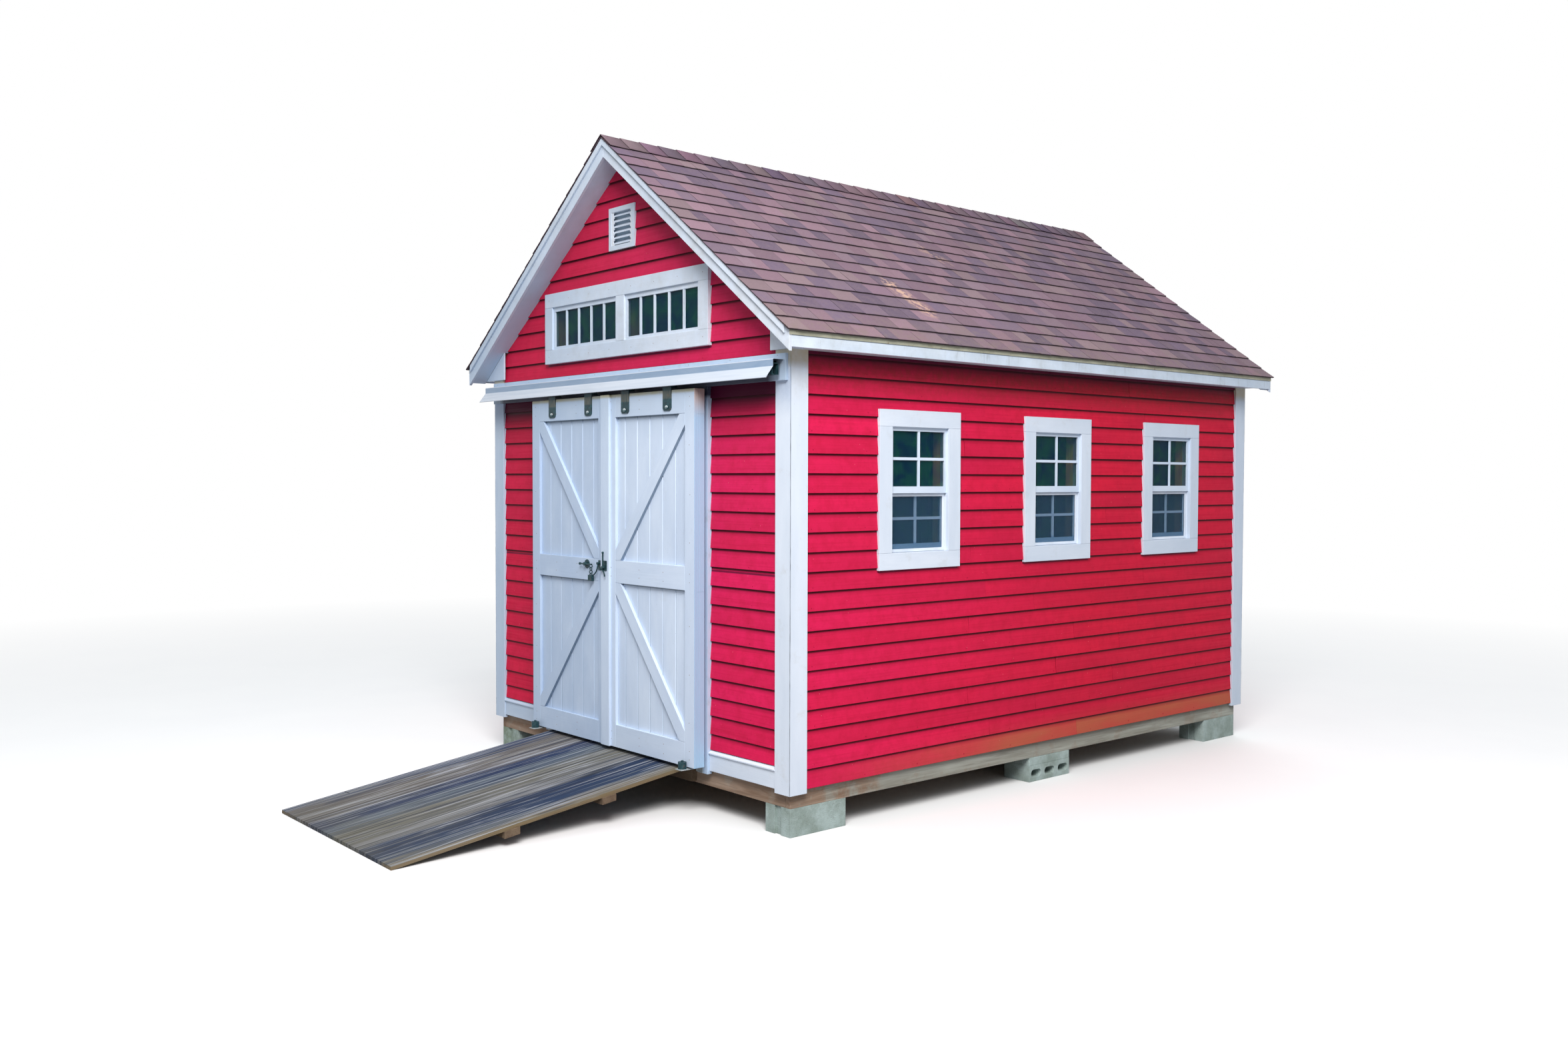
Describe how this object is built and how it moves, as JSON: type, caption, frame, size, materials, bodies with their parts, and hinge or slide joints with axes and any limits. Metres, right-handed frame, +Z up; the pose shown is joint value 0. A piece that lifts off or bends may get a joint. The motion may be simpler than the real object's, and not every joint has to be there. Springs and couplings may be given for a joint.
{
  "type": "garden shed",
  "caption": "Gable-roofed clapboard garden shed with double sliding doors on a covered track, side windows and a ramp, standing on concrete blocks.",
  "frame": {"origin": "on the ground, in the middle of the whole shed with its ramp", "axes": "+Z up, +X to the right when facing the doors, the doors face -Y and the ridge runs along Y"},
  "size_m": [3.408, 6.366, 3.926],
  "materials": {
    "concrete": "rough cast",
    "weathered_wood": "weathered, bare",
    "raw_wood": "bare",
    "red_siding": "painted, satin",
    "white_trim": "painted, satin",
    "door_paint": "painted, satin",
    "white_metal": "painted sheet",
    "dark_steel": "black enamel, worn",
    "glass": "clear",
    "shingle": "mineral granules",
    "ramp_wood": "weathered plywood"
  },
  "bodies": {
    "shed": {"ground_blocks": "concrete", "cap_blocks": "concrete", "side_rims": "weathered_wood", "end_rims": "weathered_wood", "floor_joists": "weathered_wood", "floor_deck": "raw_wood", "side_plates": "raw_wood", "end_plates": "raw_wood", "wall_studs": "raw_wood", "wall_beams": "raw_wood", "side_sheathing": "raw_wood", "end_sheathing": "raw_wood", "front_siding": "red_siding", "rear_siding": "red_siding", "left_siding": "red_siding", "right_siding": "red_siding", "corner_boards": "white_trim", "water_table": "white_trim", "window_casings": "white_trim", "window_frames": "white_trim", "window_sashes": "white_trim", "window_glass": "glass", "transom_casing": "white_trim", "transom_sashes": "white_trim", "transom_glass": "glass", "gable_vents": "white_trim", "rafters": "raw_wood", "ridge_board": "raw_wood", "rafter_ties": "raw_wood", "roof_deck": "raw_wood", "shingles": "shingle", "ridge_cap": "shingle", "rake_boards": "white_trim", "rake_strips": "white_trim", "fascias": "white_trim", "drip_edges": "white_metal", "soffits": "white_trim", "eave_ends": "white_trim", "door_casings": "white_trim", "track_board": "white_trim", "door_track": "dark_steel", "track_fittings": "dark_steel", "track_hood": "white_metal", "floor_guides": "dark_steel", "ramp_deck": "ramp_wood", "ramp_battens": "weathered_wood"},
    "left_door": {"left_door_planks": "door_paint", "left_door_frame": "door_paint", "left_door_trim": "door_paint", "left_door_hangers": "dark_steel", "door_latch": "dark_steel"},
    "right_door": {"right_door_planks": "door_paint", "right_door_frame": "door_paint", "right_door_trim": "door_paint", "right_door_hangers": "dark_steel", "astragal": "door_paint", "door_pull": "dark_steel"}
  },
  "joints": [
    {"name": "left_door_slide", "type": "slide", "parent": "shed", "child": "left_door", "axis": [-1, 0, 0], "range_m": [0, 0.785]},
    {"name": "right_door_slide", "type": "slide", "parent": "shed", "child": "right_door", "axis": [1, 0, 0], "range_m": [0, 0.725]}
  ]
}
